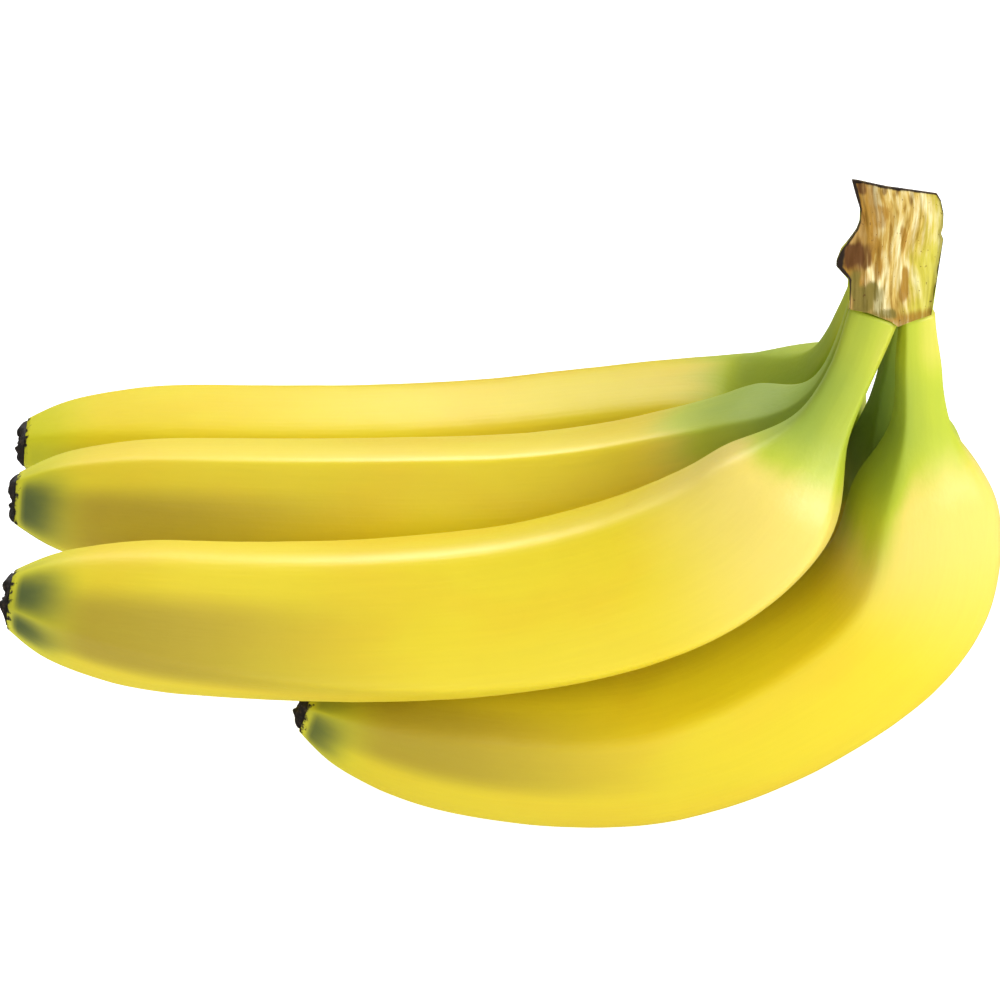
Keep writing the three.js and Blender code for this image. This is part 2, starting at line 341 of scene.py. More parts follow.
def peel_material(name, wax, colours):
    """Banana peel: a living, waxy skin over moist pulp, with broad soft highlights and a slight depth."""
    material, tree, shader = new_material("waxy_banana_peel_" + name)
    straight = add(tree, "Attribute", attribute_name="straight").outputs["Vector"]
    # Ripeness here also holds painted light and shade on the stalk's two sides
    ripeness = add(tree, "Attribute", attribute_name="ripeness").outputs["Fac"]
    unripe_and_shaded = add(tree, "Attribute", attribute_name="unripe_and_shaded").outputs["Fac"]
    to_tip = add(tree, "Attribute", attribute_name="to_tip").outputs["Fac"]

    # Warm patches some 40 mm long and 20 mm wide
    patches = add(tree, "Mapping", {"Scale": (1 / 0.02, 1 / 0.02, 1 / 0.045)}, {"Vector": straight})
    warm = add(tree, "TexNoise", {"Scale": 1, "Detail": 2}, {"Vector": patches.outputs[0]})
    warmth = add(tree, "MapRange", {"From Min": 0.42, "From Max": 0.7, "To Max": 0.7},
                 {"Value": warm.outputs["Fac"]}, interpolation_type="SMOOTHSTEP")
    body = add(tree, "Mix", {MIX_A: colours.ripe, MIX_B: colours.glow},
               {MIX_FACTOR: warmth.outputs[0]}, data_type="RGBA")

    # Beside the shoulder a painted sheen makes the peel paler, and towards the tip
    # painted shade darkens one side
    painted_sheen = add(tree, "Attribute", attribute_name="painted_sheen").outputs["Fac"]
    with_painted_sheen = add(tree, "Mix", {MIX_B: colours.painted_sheen}, {MIX_FACTOR: painted_sheen, MIX_A: body.outputs[MIX_RESULT]},
                data_type="RGBA")
    painted_shade_side = add(tree, "Attribute", attribute_name="painted_shade_side").outputs["Fac"]
    with_painted_shade = add(tree, "Mix", {MIX_B: colours.painted_shade_mustard}, {MIX_FACTOR: painted_shade_side, MIX_A: with_painted_sheen.outputs[MIX_RESULT]},
               data_type="RGBA")

    # The stalk's green gives way to yellow past the shoulder, a little further in some streaks
    streaks = add(tree, "Mapping", {"Scale": (1 / 0.005, 1 / 0.005, 1 / 0.05)}, {"Vector": straight})
    streak = add(tree, "TexNoise", {"Scale": 1, "Detail": 2}, {"Vector": streaks.outputs[0]})
    shift = add(tree, "MapRange", {"To Min": -0.12, "To Max": 0.12}, {"Value": streak.outputs["Fac"]})
    turned = add(tree, "Math", links={0: ripeness, 1: shift.outputs[0]}, operation="ADD", use_clamp=True)
    young = add(tree, "ValToRGB", links={"Fac": turned.outputs[0]},
                stops=((0.0, tuple(colours.stalk)), (0.62, tuple(colours.turning))))
    yellowing = add(tree, "MapRange", {"From Min": 0.55, "From Max": 1.0}, {"Value": turned.outputs[0]},
                    interpolation_type="SMOOTHSTEP")
    grown = add(tree, "Mix", links={
        MIX_FACTOR: yellowing.outputs[0], MIX_A: young.outputs["Color"], MIX_B: with_painted_shade.outputs[MIX_RESULT],
    }, data_type="RGBA")

    # Round the flower end the peel is fresh, and its lower faces stay dark green: the tip's own green,
    # deepened by painted shade
    freshness = add(tree, "MapRange", {"From Min": 0.02, "From Max": 0.002, "To Max": 0.75},
                    {"Value": to_tip}, interpolation_type="SMOOTHSTEP")
    freshened = add(tree, "Mix", {MIX_B: colours.fresh}, {
        MIX_FACTOR: freshness.outputs[0], MIX_A: grown.outputs[MIX_RESULT],
    }, data_type="RGBA")
    green = add(tree, "Math", links={0: unripe_and_shaded, 1: shift.outputs[0]}, operation="ADD", use_clamp=True)
    greening = add(tree, "MapRange", {"From Min": 0.05, "From Max": 1.0}, {"Value": green.outputs[0]},
                   interpolation_type="SMOOTHSTEP")
    greened = add(tree, "Mix", {MIX_B: colours.tip}, {
        MIX_FACTOR: greening.outputs[0], MIX_A: freshened.outputs[MIX_RESULT],
    }, data_type="RGBA")

    # Fine fibres under the skin, 0.9 mm apart
    fibres = add(tree, "Mapping", {"Scale": (1 / 0.0009, 1 / 0.0009, 1 / 0.02)}, {"Vector": straight})
    fibre = add(tree, "TexNoise", {"Scale": 1, "Detail": 2}, {"Vector": fibres.outputs[0]})
    fibre_shade = add(tree, "MapRange", {"To Min": 0.97, "To Max": 1.03}, {"Value": fibre.outputs["Fac"]})
    shaded = add(tree, "Mix", {MIX_FACTOR: 1.0}, {
        MIX_A: greened.outputs[MIX_RESULT], MIX_B: fibre_shade.outputs[0],
    }, data_type="RGBA", blend_type="MULTIPLY")

    # The last millimetre of peel has dried black, up to a ragged line
    rag = add(tree, "TexNoise", {"Scale": 700, "Detail": 3}, {"Vector": straight})
    reach = add(tree, "MapRange", {"From Min": 0.35, "From Max": 0.75, "To Min": -0.0007, "To Max": 0.0014},
                {"Value": rag.outputs["Fac"]})
    beyond = add(tree, "Math", links={0: reach.outputs[0], 1: to_tip}, operation="SUBTRACT")
    dried = add(tree, "MapRange", {"From Min": -0.0003, "From Max": 0.0003}, {"Value": beyond.outputs[0]})
    final = add(tree, "Mix", {MIX_B: colours.dry}, {
        MIX_FACTOR: dried.outputs[0], MIX_A: shaded.outputs[MIX_RESULT],
    }, data_type="RGBA")
    tree.links.new(final.outputs[MIX_RESULT], shader.inputs["Base Color"])

    # Pores 1.1 mm apart leave the wax a little uneven
    pores = add(tree, "TexNoise", {"Scale": 1 / 0.0011, "Detail": 2}, {"Vector": straight})
    satin = add(tree, "MapRange", {"To Min": 0.32, "To Max": 0.44}, {"Value": pores.outputs["Fac"]})
    # Green peel has little wax yet, and towards the tip it has worn off
    bare = add(tree, "MapRange", {"From Max": 0.9, "To Min": 0.3, "To Max": 0}, {"Value": ripeness})
    unwaxed = add(tree, "Math", links={0: satin.outputs[0], 1: bare.outputs[0]}, operation="ADD")
    worn = add(tree, "Attribute", attribute_name="worn").outputs["Fac"]
    rough = add(tree, "Math", {1: 0.2}, {0: worn, 2: unwaxed.outputs[0]}, operation="MULTIPLY_ADD")
    tree.links.new(rough.outputs[0], shader.inputs["Roughness"])
    shader.inputs["Specular IOR Level"].default_value = 0.5 * wax
    fine = add(tree, "Bump", {"Strength": 0.25, "Distance": 0.0001}, {"Height": pores.outputs["Fac"]})
    bump = add(tree, "Bump", {"Strength": 0.3, "Distance": 0.00015},
               {"Height": fibre.outputs["Fac"], "Normal": fine.outputs["Normal"]})
    tree.links.new(bump.outputs["Normal"], shader.inputs["Normal"])
    shader.inputs["IOR"].default_value = 1.52
    shader.inputs["Subsurface Weight"].default_value = 0.15
    shader.inputs["Subsurface Radius"].default_value = (1.0, 0.75, 0.15)
    shader.inputs["Subsurface Scale"].default_value = 0.003
    return material


def flower_material(colours):
    """Dried petals and style: dead, matt and nearly black, with dusty brown edges."""
    material, tree, shader = new_material("dried_flower_remains")
    place = add(tree, "TexCoord").outputs["Object"]
    crust = add(tree, "TexNoise", {"Scale": 1 / 0.0012, "Detail": 5, "Roughness": 0.65}, {"Vector": place})
    worn = add(tree, "MapRange", {"From Min": 0.5, "From Max": 0.75}, {"Value": crust.outputs["Fac"]},
               interpolation_type="SMOOTHSTEP")
    skin = add(tree, "Mix", {MIX_A: colours.dry, MIX_B: colours.dust},
               {MIX_FACTOR: worn.outputs[0]}, data_type="RGBA")
    tree.links.new(skin.outputs[MIX_RESULT], shader.inputs["Base Color"])
    bump = add(tree, "Bump", {"Strength": 0.8, "Distance": 0.0004}, {"Height": crust.outputs["Fac"]})
    tree.links.new(bump.outputs["Normal"], shader.inputs["Normal"])
    shader.inputs["Roughness"].default_value = 0.72
    return material


def crown_material(colours):
    """Cut cushion of the bunch: torn plant fibres, dried pale, with sap stains, inside a living skin."""
    material, tree, shader = new_material("cut_dried_crown")
    cut = add(tree, "Attribute", attribute_name="cut").outputs["Vector"]
    masks = {name: add(tree, "Attribute", attribute_name=name).outputs["Fac"]
             for name in ("gold", "olive", "fresh", "brown", "char", "skin")}

    # Noise drawn out along the fibres: its lumps are this wide and this tall, in metres
    lumps = {}
    for name, wide, tall, detail in (
        ("patch", 0.0042, 0.011, 2), ("bundle", 0.0016, 0.013, 3), ("hair", 0.0005, 0.005, 3),
        ("scar", 0.004, 0.01, 4), ("speck", 0.0009, 0.0012, 2),
    ):
        grid = add(tree, "Mapping", {"Scale": (1 / wide, 1 / tall, 1 / wide)}, {"Vector": cut})
        lumps[name] = add(tree, "TexNoise", {"Scale": 1, "Detail": detail, "Roughness": 0.6},
                          {"Vector": grid.outputs[0]}).outputs["Fac"]

    # Bundles of fibres 1.6 mm wide run up the cut, cream against tan, with hairs of 0.5 mm on them
    broad = add(tree, "Mix", {0: 0.5}, {2: lumps["bundle"], 3: lumps["patch"]}).outputs[0]
    both = add(tree, "Mix", {0: 0.24}, {2: broad, 3: lumps["hair"]}).outputs[0]
    below = add(tree, "ValToRGB", links={"Fac": both}, stops=(
        (0.39, tuple(colours.gold)), (0.47, tuple(colours.tan)), (0.58, tuple(colours.cream)),
    )).outputs["Color"]

    # The stains follow the fibres, and their edges are ragged
    ragged = add(tree, "MapRange", {"From Min": 0.3, "From Max": 0.7, "To Min": -0.45, "To Max": 0.45},
                 {"Value": both}).outputs[0]
    stains = {}
    for name, most in (("fresh", 0.8), ("gold", 0.85), ("olive", 0.9), ("brown", 0.92), ("char", 1)):
        shifted = add(tree, "Math", links={0: masks[name], 1: ragged}, operation="SUBTRACT").outputs[0]
        stains[name] = add(tree, "MapRange", {"From Min": 0.1, "From Max": 0.9, "To Max": most},
                           {"Value": shifted}, interpolation_type="SMOOTHSTEP").outputs[0]
    stains["speck"] = add(tree, "MapRange", {"From Min": 0.66, "From Max": 0.72, "To Max": 0.7},
                          {"Value": lumps["speck"]}, interpolation_type="SMOOTHSTEP").outputs[0]
    for name, shade in (
        ("fresh", colours.sap), ("gold", colours.gold), ("olive", colours.olive), ("speck", colours.brown),
    ):
        below = add(tree, "Mix", {MIX_B: shade}, {MIX_FACTOR: stains[name], MIX_A: below},
                    data_type="RGBA").outputs[MIX_RESULT]

    # The skin round it is green, with dry tan scars
    scars = add(tree, "MapRange", {"From Min": 0.5, "From Max": 0.62, "To Max": 0.6},
                {"Value": lumps["scar"]}, interpolation_type="SMOOTHSTEP").outputs[0]
    skin = add(tree, "Mix", {MIX_A: colours.turning, MIX_B: colours.tan}, {MIX_FACTOR: scars},
               data_type="RGBA").outputs[MIX_RESULT]
    below = add(tree, "Mix", links={MIX_FACTOR: masks["skin"], MIX_A: below, MIX_B: skin},
                data_type="RGBA").outputs[MIX_RESULT]
    for name, shade in (("brown", colours.brown), ("char", colours.scorch)):
        below = add(tree, "Mix", {MIX_B: shade}, {MIX_FACTOR: stains[name], MIX_A: below},
                    data_type="RGBA").outputs[MIX_RESULT]
    tree.links.new(below, shader.inputs["Base Color"])
    rough = add(tree, "Bump", {"Strength": 0.5, "Distance": 0.0003}, {"Height": lumps["hair"]})
    tree.links.new(rough.outputs["Normal"], shader.inputs["Normal"])
    shader.inputs["Roughness"].default_value = 0.75
    shader.inputs["Specular IOR Level"].default_value = 0.2
    return material


def floor_material(stage):
    """Light table of opal acrylic, lit from below: an even white surface on which shadows stay pale."""
    material, tree, shader = new_material("opal_acrylic_table")
    place = add(tree, "TexCoord").outputs["Object"]
    grain = add(tree, "TexNoise", {"Scale": 1 / 0.004, "Detail": 3}, {"Vector": place})
    bump = add(tree, "Bump", {"Strength": 0.05, "Distance": 0.0001}, {"Height": grain.outputs["Fac"]})
    tree.links.new(bump.outputs["Normal"], shader.inputs["Normal"])
    shader.inputs["Base Color"].default_value = stage.floor
    shader.inputs["Emission Color"].default_value = (1, 1, 1, 1)
    shader.inputs["Emission Strength"].default_value = stage.glow
    shader.inputs["Roughness"].default_value = 0.9
    return material


def smooth(knots, values):
    """A natural cubic spline through the values at the knots, as a function of an array of places."""
    knots = np.array(knots, float)
    values = np.array(values, float)
    steps = np.diff(knots)
    slopes = np.diff(values) / steps
    last = len(knots) - 1
    system = np.eye(last + 1)
    turns = np.zeros(last + 1)
    for i in range(1, last):
        system[i, i - 1:i + 2] = steps[i - 1], 2 * (steps[i - 1] + steps[i]), steps[i]
        turns[i] = 6 * (slopes[i] - slopes[i - 1])
    bends = np.linalg.solve(system, turns)

    def at(t):
        i = np.clip(np.searchsorted(knots, t) - 1, 0, last - 1)
        a = (knots[i + 1] - t) / steps[i]
        b = 1 - a
        bow = ((a**3 - a) * bends[i] + (b**3 - b) * bends[i + 1]) * steps[i] ** 2 / 6
        return a * values[i] + b * values[i + 1] + bow

    return at


def smooth_line(points):
    """A smooth line through points, as a function of the share of the way along it."""
    points = np.array(points, float)
    run = np.concatenate(([0], np.cumsum(np.linalg.norm(np.diff(points, axis=0), axis=1))))
    parts = [smooth(run / run[-1], points[:, k]) for k in range(points.shape[1])]
    return lambda share: np.stack([part(share) for part in parts], axis=-1)


def even_line(points):
    """A smooth line whose share is measured along its length: place, direction and total length."""
    line = smooth_line(points)
    fine = np.linspace(0, 1, 2001)
    path = line(fine)
    run = np.concatenate(([0], np.cumsum(np.linalg.norm(np.diff(path, axis=0), axis=1))))
    small = 1e-4

    def place(share):
        return line(np.interp(share * run[-1], run, fine))

    def direction(share):
        ahead = place(np.minimum(share + small, 1)) - place(np.maximum(share - small, 0))
        return ahead / np.linalg.norm(ahead, axis=-1, keepdims=True)

    return place, direction, run[-1]


def unit(vectors):
    return vectors / np.linalg.norm(vectors, axis=-1, keepdims=True)


def across_axis(direction):
    """Two directions square to the axis: towards its convex back, and towards the near side."""
    side = unit(np.array([0, -1, 0]) + direction * direction[..., 1:2])
    return np.cross(side, direction), side


def reach_share(degrees_off, width, rounding, flatness):
    """How far the skin reaches from the axis, on a face so wide and so far off its nearer ridge."""
    def soft(degrees):
        return np.hypot(degrees, rounding) - rounding

    inward = width / 2 * soft(degrees_off) / soft(width / 2)
    chord = np.cos(np.radians(width / 2)) / np.cos(np.radians(width / 2 - inward))
    return 1 - flatness * (1 - chord)


def round_the_axis(finger, along, turn):
    """At shares of the length and of the way round: the angle, how many degrees it is off the nearer ridge,
    the width of the face, and the rounding of that ridge.
    """
    at_crown, at_tip = np.array(finger["ridges"])
    ridges = at_crown + (at_tip - at_crown) * along[:, None] ** 2
    ridges = np.hstack((ridges, ridges[:, :1] + 360))
    face = np.minimum((turn * FACES).astype(int), FACES - 1)
    share = turn * FACES - face
    share = share - RIDGE_CROWDING * np.sin(2 * math.pi * share)
    rows = np.arange(len(along))
    start = ridges[rows, face]
    width = ridges[rows, face + 1] - start
    rounding = np.array(finger["rounding"])[(face + (share > 0.5)) % FACES]
    return start + width * share, width * np.minimum(share, 1 - share), width, rounding


def new_sphere(name, segments, rows):
    """A UV sphere to be shaped, with each vertex's row from the pole and its share of the way round."""
    bpy.ops.object.select_all(action="DESELECT")
    bpy.ops.mesh.primitive_uv_sphere_add(segments=segments, ring_count=rows, radius=1, location=(0, 0, 0))
    piece = bpy.context.object
    piece.name = name
    piece.data.name = name
    points = places(piece)
    row = np.rint(np.arccos(np.clip(points[:, 2], -1, 1)) / math.pi * rows).astype(int)
    step = np.rint(np.arctan2(points[:, 1], points[:, 0]) / (2 * math.pi) * segments).astype(int)
    return piece, row, (step % segments) / segments


def places(piece):
    points = np.zeros(len(piece.data.vertices) * 3, np.float32)
    piece.data.vertices.foreach_get("co", points)
    return points.reshape(-1, 3).astype(float)


def put(piece, points):
    piece.data.vertices.foreach_set("co", points.astype(np.float32).ravel())
    piece.data.update()


def keep(piece, name, values):
    """Stores a number or a vector at each vertex, for a material to read."""
    values = np.asarray(values, np.float32)
    number = values.ndim == 1
    attribute = piece.data.attributes.new(name, "FLOAT" if number else "FLOAT_VECTOR", "POINT")
    attribute.data.foreach_set("value" if number else "vector", values.ravel())


def finish_piece(piece, material, node, angle=None):
    """Turns the faces outwards, shades them, and hands the piece over to its place in the frame."""
    bpy.ops.object.mode_set(mode="EDIT")
    bpy.ops.mesh.select_all(action="SELECT")
    bpy.ops.mesh.normals_make_consistent(inside=False)
    bpy.ops.object.mode_set(mode="OBJECT")
    if angle is None:
        bpy.ops.object.shade_smooth()
    else:
        bpy.ops.object.shade_smooth_by_angle(angle=angle)
    piece.data.materials.clear()
    piece.data.materials.append(material)
    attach(piece, BODY)
    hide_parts(node)


def smoothstep(values, start, end):
    share = np.clip((values - start) / (end - start), 0, 1)
    return share * share * (3 - 2 * share)


def mark_peel(piece, finger, along, degrees, off, run):
    """Stores where the peel is green, partly painted light and shade, where it has a painted sheen and
    painted shade, and where it is worn, at each vertex's place on the finger.
    """
    angle = np.radians(degrees)
    least, green_until, yellow_from = finger["ripeness"]
    grown = smoothstep(along, green_until, yellow_from)
    inner_from, inner_until = finger["inner_green"]
    around = degrees % 360
    inner = smoothstep(around, inner_from - INNER_SOFTNESS, inner_from + INNER_SOFTNESS)
    inner = inner * smoothstep(around, *INNER_END)
    grown = grown * (1 - 0.75 * inner * smoothstep(along, inner_until, 0.5 * inner_until))
    # Painted light and shade: over its own green, the stalk's outer side is made yellower and its inner side
    # greener
    outer = 0.16 * np.cos(angle) * (1 - grown)
    by_crown = 0.22 * smoothstep(along, *YELLOWER_ALONG)
    keep(piece, "ripeness", least + (1 - least) * grown + outer + by_crown)
    # The tip's own dark green, deepened by painted shade on one side, and weaker along the ridges
    green_length, darkness, green_and_shaded_side = finger["tip"]
    to_tip = (1 - along) * run
    facing = smoothstep(np.cos(angle - math.radians(green_and_shaded_side)), -0.1, 0.95)
    ridge_gap = 1 - 0.75 * np.exp(-off / RIDGE_FADE)
    lengthwise = smoothstep(to_tip / MM, green_length, 0.1 * green_length)
    lengthwise = lengthwise * smoothstep(to_tip / MM, 0.3, 2.5)
    keep(piece, "unripe_and_shaded", darkness * facing * ridge_gap * lengthwise)
    keep(piece, "to_tip", to_tip)
    # Painted shade: one side is darker towards the tip
    shaded_near_side = smoothstep(np.cos(angle - math.radians(finger["painted_shade_side"])), 0.68, 0.96)
    keep(piece, "painted_shade_side", shaded_near_side * smoothstep(to_tip, *SHADE_AND_WEAR_TO_TIP))
    # Painted sheen: the peel beside the shoulder is paler
    keep(piece, "painted_sheen", smoothstep(along, *PAINTED_SHEEN_ALONG))
    keep(piece, "worn", smoothstep(to_tip, *SHADE_AND_WEAR_TO_TIP))


def make_finger(name, finger, sizes, material):
    """One banana: a sphere drawn out along the finger's axis, with five ridges and a resting flat."""
    piece, row, turn = new_sphere("peel_" + name, FINGER_SEGMENTS, FINGER_ROWS)
    place, direction, run = even_line(np.array(finger["axis"]) * MM)
    along = np.clip((row - 1) / (FINGER_ROWS - 2), 0, 1)
    degrees, off, width, rounding = round_the_axis(finger, along, turn)
    angle = np.radians(degrees)
    stalk = 1 + (finger["stalk"] - 1) * (1 - smoothstep(along, 0, STALK_END))
    radius = sizes.girth * finger["girth"] * stalk * smooth(PROFILE_ALONG, PROFILE_RADIUS)(along)
    reach = radius * reach_share(off, width, rounding, sizes.flatness)
    reach[(row == 0) | (row == FINGER_ROWS)] = 0
    back, side = across_axis(direction(along))
    on_back = (reach * np.cos(angle))[:, None]
    on_side = (reach * np.sin(angle))[:, None]
    points = place(along) + back * on_back + side * on_side + CENTRE
    points[:, 2] = np.maximum(points[:, 2], 0)
    put(piece, points)
    keep(piece, "straight", np.hstack((on_back, on_side, (along * run)[:, None])))
    mark_peel(piece, finger, along, degrees, off, run)
    ripple = bpy.data.textures.new("peel_ripple", "CLOUDS")
    ripple.noise_scale = HOLLOW_WIDTH * MM
    modifier = piece.modifiers.new("ripple", "DISPLACE")
    modifier.texture = ripple
    modifier.texture_coords = "LOCAL"
    modifier.mid_level = 1
    modifier.strength = sizes.waviness
    bpy.ops.object.modifier_apply(modifier=modifier.name)
    points = places(piece)
    points[:, 2] = np.maximum(points[:, 2], 0)
    put(piece, points)
    finish_piece(piece, material, "banana_" + name)


def make_flower_end(name, finger, sizes, material):
    """The dry remains of a flower: a ragged, hollow button on the end of its finger."""
    piece, row, turn = new_sphere("dry_flower_" + name, FLOWER_SEGMENTS, FLOWER_ROWS)
    place, direction, _ = even_line(np.array(finger["axis"]) * MM)
    profile = smooth_line(FLOWER_PROFILE)(np.clip((row - 1) / (FLOWER_ROWS - 2), 0, 1))
    degrees, off, width, rounding = round_the_axis(finger, np.ones(len(row)), turn)
    angle = np.radians(degrees)
    ahead = direction(np.ones(1))
    back, side = across_axis(ahead)
    rim = np.stack((np.cos(angle), np.sin(angle)), axis=-1)
    seed = 7.3 * list(FINGERS).index(name)
    lobes = np.array([noise.noise((x * 1.7, y * 1.7, seed)) for x, y in rim])
    crumple = np.array([noise.noise((x * 4, y * 4, seed + s * 3)) for (x, y), s in zip(rim, profile[:, 0])])
    out = np.clip(profile[:, 0], 0, 1)
    radius = sizes.flower_radius * profile[:, 1] * reach_share(off, width, rounding, sizes.flatness)
    radius = radius * (1 - out * (0.1 + 0.35 * lobes + 0.2 * crumple))
    radius[(row == 0) | (row == FLOWER_ROWS)] = 0
    height = sizes.flower_length * (profile[:, 0] * (0.6 + 0.7 * lobes) + 0.16 * crumple * out)
    points = (
        place(np.ones(1)) + CENTRE + ahead * height[:, None]
        + back * (radius * np.cos(angle))[:, None] + side * (radius * np.sin(angle))[:, None]
    )
    put(piece, points)
    finish_piece(piece, material, "flower_end_" + name, angle=math.radians(50))


def straight_line(points):
    """A line of straight runs through points, as a function of the share of the way along it."""
    points = np.array(points, float)
    run = np.concatenate(([0], np.cumsum(np.linalg.norm(np.diff(points, axis=0), axis=1))))
    return lambda share: np.stack([np.interp(share * run[-1], run, points[:, k]) for k in (0, 1)], axis=-1)


def crown_outline(across, up):
    """Place on the crown's cut side, x and height, from shares of its width and its height."""
    left = straight_line(CROWN_LEFT)(up)
    right = straight_line(CROWN_RIGHT)(up)
    top = straight_line(CROWN_TOP)(across)
    bottom = straight_line(CROWN_BOTTOM)(across)
    u = across[:, None]
    v = up[:, None]
    corners = (
        (1 - u) * (1 - v) * np.array(CROWN_BOTTOM[0]) + u * (1 - v) * np.array(CROWN_BOTTOM[-1])
        + (1 - u) * v * np.array(CROWN_TOP[0]) + u * v * np.array(CROWN_TOP[-1])
    )
    return (1 - v) * bottom + v * top + (1 - u) * left + u * right - corners


def noise_at(points, widths, seed):
    """Smooth noise of about -1 to 1 whose lumps have the given widths along each direction."""
    scaled = points / np.array(widths)
    return np.array([noise.noise((x + seed, y, z)) for x, y, z in scaled])


def marked(x, height, marks, raggedness):
    """Strength of the marks on the crown's cut at these places, with ragged edges."""
    strength = np.zeros(len(x))
    for middle_x, middle_height, half_width, half_height, most in marks:
        far = np.hypot((x - middle_x) / half_width, (height - middle_height) / half_height)
        strength = np.maximum(strength, most * smoothstep(far + 1.5 * raggedness, 1.5, 0.5))
    return strength


def make_crown(sizes, material):
    """The cut crown: a cube divided into a fine grid and drawn into the cut's outline, with torn fibres."""
    bpy.ops.object.select_all(action="DESELECT")
    bpy.ops.mesh.primitive_cube_add(size=1, location=(0, 0, 0))
    piece = bpy.context.object
    piece.name = "fibrous_crown"
    piece.data.name = piece.name
    bpy.ops.object.mode_set(mode="EDIT")
    bpy.ops.mesh.subdivide(number_cuts=CROWN_CUTS)
    bpy.ops.object.mode_set(mode="OBJECT")
    shares = places(piece) + 0.5
    across, back, up = np.clip(shares, 0, 1).T
    depth = 0.5 - 0.5 * np.cos(math.pi * back)
    flat = crown_outline(across, up)
    x, height = flat.T
    middle = CROWN_HEIGHT / 3
    width = np.interp(depth, CROWN_DEPTHS, CROWN_WIDTHS)
    x = x * (1 - CROWN_NARROWING * depth * height / CROWN_HEIGHT) * width
    height = (height * (1 - CROWN_DROP * depth) - middle) * width + middle

    # The fibres run up the cut side in soft waves, in bundles with hollows between them
    where = np.stack((x, height, depth * sizes.crown_depth / MM), axis=-1)
    waves = noise_at(where, (9, 13, 9), 2.2)
    warped = where + np.outer(1.8 * waves, [1, 0, 0])
    bundles = np.abs(noise_at(warped, (3, 24, 9), 3.1))
    hairs = np.abs(noise_at(warped, (1.1, 12, 9), 8.7))
    hollows = noise_at(where, (5, 12, 9), 5.9)
    edge = np.minimum(np.minimum(across, 1 - across) * CROWN_WIDTH, np.minimum(up, 1 - up) * CROWN_HEIGHT)
    on_cut = back == 0
    groove = 0.5 * bundles + 0.25 * hairs + 0.8 * np.maximum(hollows, 0)
    groove = groove * smoothstep(edge, 0, 0.9) * on_cut
    wrinkle = noise_at(where, (3, 9, 3), 1.7) * (back > 0) * 0.25
    tilt = sizes.crown_tilt
    upward = np.array([0, math.sin(tilt), math.cos(tilt)])
    backward = np.array([0, math.cos(tilt), -math.sin(tilt)])
    to_right = x - np.sign(x) * np.maximum(wrinkle, 0) + CROWN_LEAN * depth
    points = (
        np.array(CROWN_PLACE) * MM + CENTRE
        + np.outer(to_right * MM, [1, 0, 0]) + np.outer(height * MM, upward)
        + np.outer(depth * sizes.crown_depth + groove * sizes.fibre_depth * 2, backward)
    )
    put(piece, points)
    keep(piece, "cut", warped * MM)

    # Masks for the finish: each is 0 to 1
    lumps = 0.5 * noise_at(where, (2.5, 3.5, 9), 4.4)
    left, right, top = (
        np.interp(share, np.linspace(0, 1, len(widths)), widths) - distance
        for share, widths, distance in (
            (up, LEFT_CHAR, across * CROWN_WIDTH), (up, RIGHT_CHAR, (1 - across) * CROWN_WIDTH),
            (across, TOP_CHAR, (1 - up) * CROWN_HEIGHT),
        )
    )
    char = smoothstep(np.maximum(np.maximum(left, right), top) + 0.4 * lumps, -0.35, 0.35)
    side_char = smoothstep(3 - depth * sizes.crown_depth / MM + 4 * lumps, 0, 3) * (up > 0.25)
    on_top = up == 1
    top_char = on_top * 0.75 * smoothstep(noise_at(where, (3, 9, 5), 6.6), -0.3, 0.6)
    keep(piece, "char", np.where(on_cut, char, np.maximum(side_char * 0.8, top_char)))
    keep(piece, "brown", np.maximum(marked(x, height, SAP_MARKS, lumps) * on_cut, 0.95 * on_top))
    keep(piece, "olive", marked(x, height, OLIVE_MARKS, lumps) * on_cut)
    base = smoothstep(height - np.interp(across, (0, 0.5, 1), (2, -1.5, 0.7)), 3.2, 0.8) * 0.8
    gold = np.maximum(marked(x, height, GOLD_MARKS, lumps), base)
    keep(piece, "gold", np.maximum(gold, 1.15 * smoothstep(across + 0.14 * lumps, 0.46, 0.08)) * on_cut)
    fresh = smoothstep(across + 0.12 * lumps + 0.05 * waves, 0.5, 1.0)
    keep(piece, "fresh", fresh * (1 - 0.35 * smoothstep(up, 0.45, 0.75)) * on_cut)
    keep(piece, "skin", (back > 0).astype(float))
    finish_piece(piece, material, "crown", angle=math.radians(60))


def aim(thing, target):
    """Turns a light or a camera to look at a point."""
    thing.rotation_euler = (Vector(target) - thing.location).to_track_quat("-Z", "Y").to_euler()


def add_light(name, place, size, power, target):
    """A large soft lamp that shines on the bunch."""
    bpy.ops.object.light_add(type="AREA", location=place)
    lamp = bpy.context.object
    lamp.name = name
    lamp.data.size = size
    lamp.data.energy = power
    aim(lamp, target)


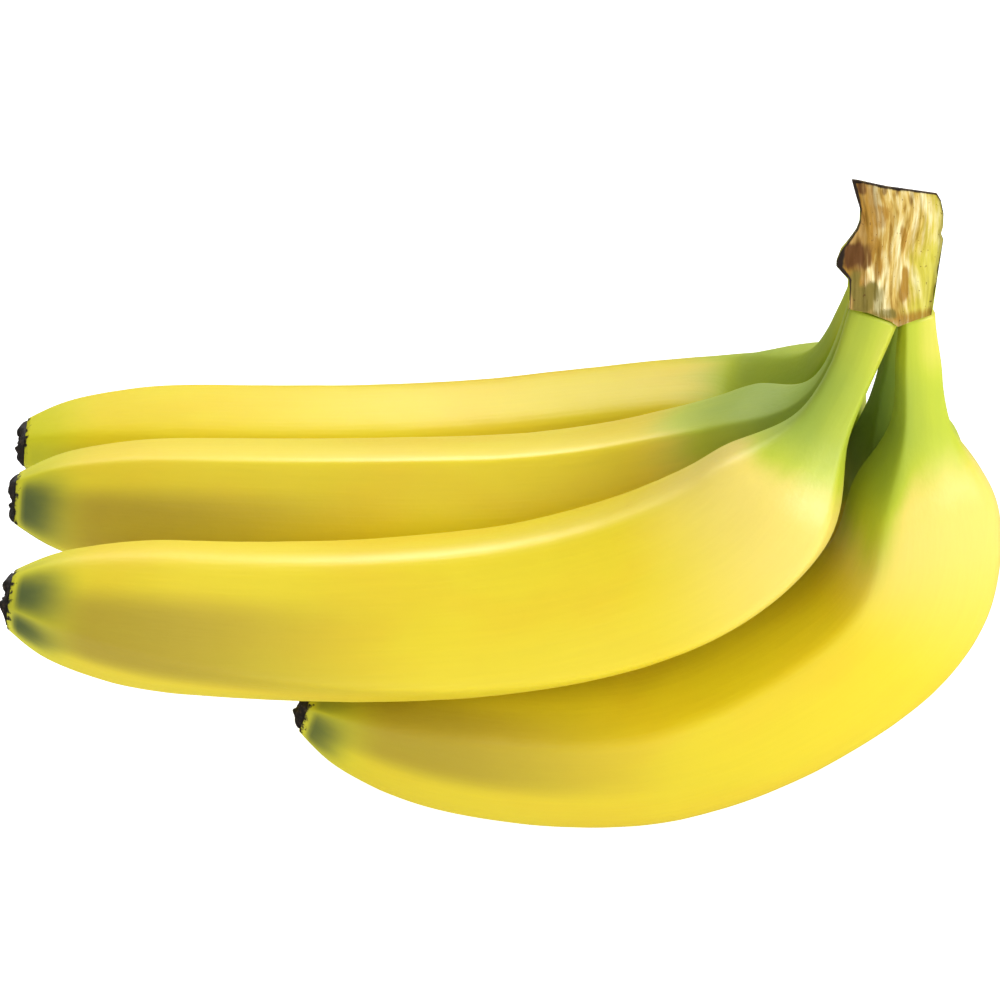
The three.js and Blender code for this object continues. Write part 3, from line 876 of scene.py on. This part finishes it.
def light_room(scene, stage):
    """Soft light from all sides, brighter at the right, with a bright patch above and behind the bunch."""
    world = bpy.data.worlds.new("studio_room")
    world.use_nodes = True
    tree = world.node_tree
    heading = add(tree, "TexCoord").outputs["Generated"]
    # How nearly a ray points at each bright region: 1 if it does, and -1 if it points away
    nearness = {}
    for name, direction in (("side", BRIGHT_SIDE), ("above", CEILING_LIGHT)):
        nearness[name] = add(tree, "VectorMath", {1: Vector(direction).normalized()}, {0: heading},
                             operation="DOT_PRODUCT").outputs["Value"]
    room = add(tree, "MapRange", {"From Min": -1, "To Min": stage.dim, "To Max": stage.bright},
               {"Value": nearness["side"]}).outputs[0]
    above = add(tree, "Math", {1: 0}, {0: nearness["above"]}, operation="MAXIMUM").outputs[0]
    patch = add(tree, "Math", {1: CEILING_TIGHTNESS}, {0: above}, operation="POWER").outputs[0]
    strength = add(tree, "Math", {1: stage.ceiling}, {0: patch, 2: room},
                   operation="MULTIPLY_ADD").outputs[0]
    background = tree.nodes["Background"]
    background.inputs["Color"].default_value = (1, 1, 1, 1)
    tree.links.new(strength, background.inputs["Strength"])
    scene.world = world


class BUNCH_OT_crown(bpy.types.Operator):
    """Model the cut crown that all stalks grow from"""

    bl_idname = "bunch.crown"
    bl_label = "Cut crown"

    def execute(self, context):
        make_crown(context.scene.bunch_sizes, crown_material(context.scene.bunch_colours))
        return {"FINISHED"}


class BUNCH_OT_fingers(bpy.types.Operator):
    """Model the five fingers"""

    bl_idname = "bunch.fingers"
    bl_label = "Fingers"

    def execute(self, context):
        for name, finger in FINGERS.items():
            material = peel_material(name, finger["wax"], context.scene.bunch_colours)
            make_finger(name, finger, context.scene.bunch_sizes, material)
        return {"FINISHED"}


class BUNCH_OT_flower_ends(bpy.types.Operator):
    """Model the dry remains of the flower on each finger's end"""

    bl_idname = "bunch.flower_ends"
    bl_label = "Flower ends"

    def execute(self, context):
        material = flower_material(context.scene.bunch_colours)
        for name, finger in FINGERS.items():
            make_flower_end(name, finger, context.scene.bunch_sizes, material)
        return {"FINISHED"}


class BUNCH_OT_stage(bpy.types.Operator):
    """Set up the floor, the soft lights and the camera"""

    bl_idname = "bunch.stage"
    bl_label = "Stage"

    def execute(self, context):
        stage = context.scene.bunch_stage
        target = Vector(CAMERA_TARGET) * MM
        bpy.ops.object.select_all(action="DESELECT")
        bpy.ops.mesh.primitive_plane_add(size=FLOOR_SIZE * MM, location=(0, 0, 0))
        floor = context.object
        floor.name = "floor"
        floor.data.materials.append(floor_material(stage))
        floor.visible_glossy = False

        add_light("key_light", Vector(KEY_PLACE) * MM, KEY_SIZE * MM, stage.key, target)
        light_room(context.scene, stage)
        context.scene.view_settings.view_transform = "Standard"

        away = Vector((0, -math.cos(stage.elevation), math.sin(stage.elevation))) * stage.distance
        bpy.ops.object.camera_add(location=target + away)
        camera = context.object
        camera.name = "camera"
        camera.data.lens = 120
        camera.data.sensor_width = 36
        aim(camera, target)
        context.scene.camera = camera
        return {"FINISHED"}


class BUNCH_PT_panel(bpy.types.Panel):
    """Lists the steps and their values"""

    bl_idname = "BUNCH_PT_panel"
    bl_label = "Bunch of bananas"
    bl_space_type = "VIEW_3D"
    bl_region_type = "UI"
    bl_category = "Bananas"

    def draw(self, context):
        for step in STEPS:
            self.layout.operator(step.bl_idname)
        for group in GROUPS:
            values = getattr(context.scene, group)
            box = self.layout.box()
            for name in values.bl_rna.properties.keys():
                if name not in ("rna_type", "name"):
                    box.prop(values, name)


STEPS = (BUNCH_OT_crown, BUNCH_OT_fingers, BUNCH_OT_flower_ends, BUNCH_OT_stage)
GROUPS = {"bunch_sizes": BunchSizes, "bunch_colours": BunchColours, "bunch_stage": BunchStage}
CLASSES = (*GROUPS.values(), *STEPS, BUNCH_PT_panel)


def register():
    for item in CLASSES:
        bpy.utils.register_class(item)
    for name, group in GROUPS.items():
        setattr(bpy.types.Scene, name, bpy.props.PointerProperty(type=group))


def unregister():
    for name in GROUPS:
        delattr(bpy.types.Scene, name)
    for item in reversed(CLASSES):
        bpy.utils.unregister_class(item)


def main():
    register()
    bpy.ops.bunch.crown()
    bpy.ops.bunch.fingers()
    bpy.ops.bunch.flower_ends()
    bpy.ops.bunch.stage()


if __name__ == "__main__":
    main()
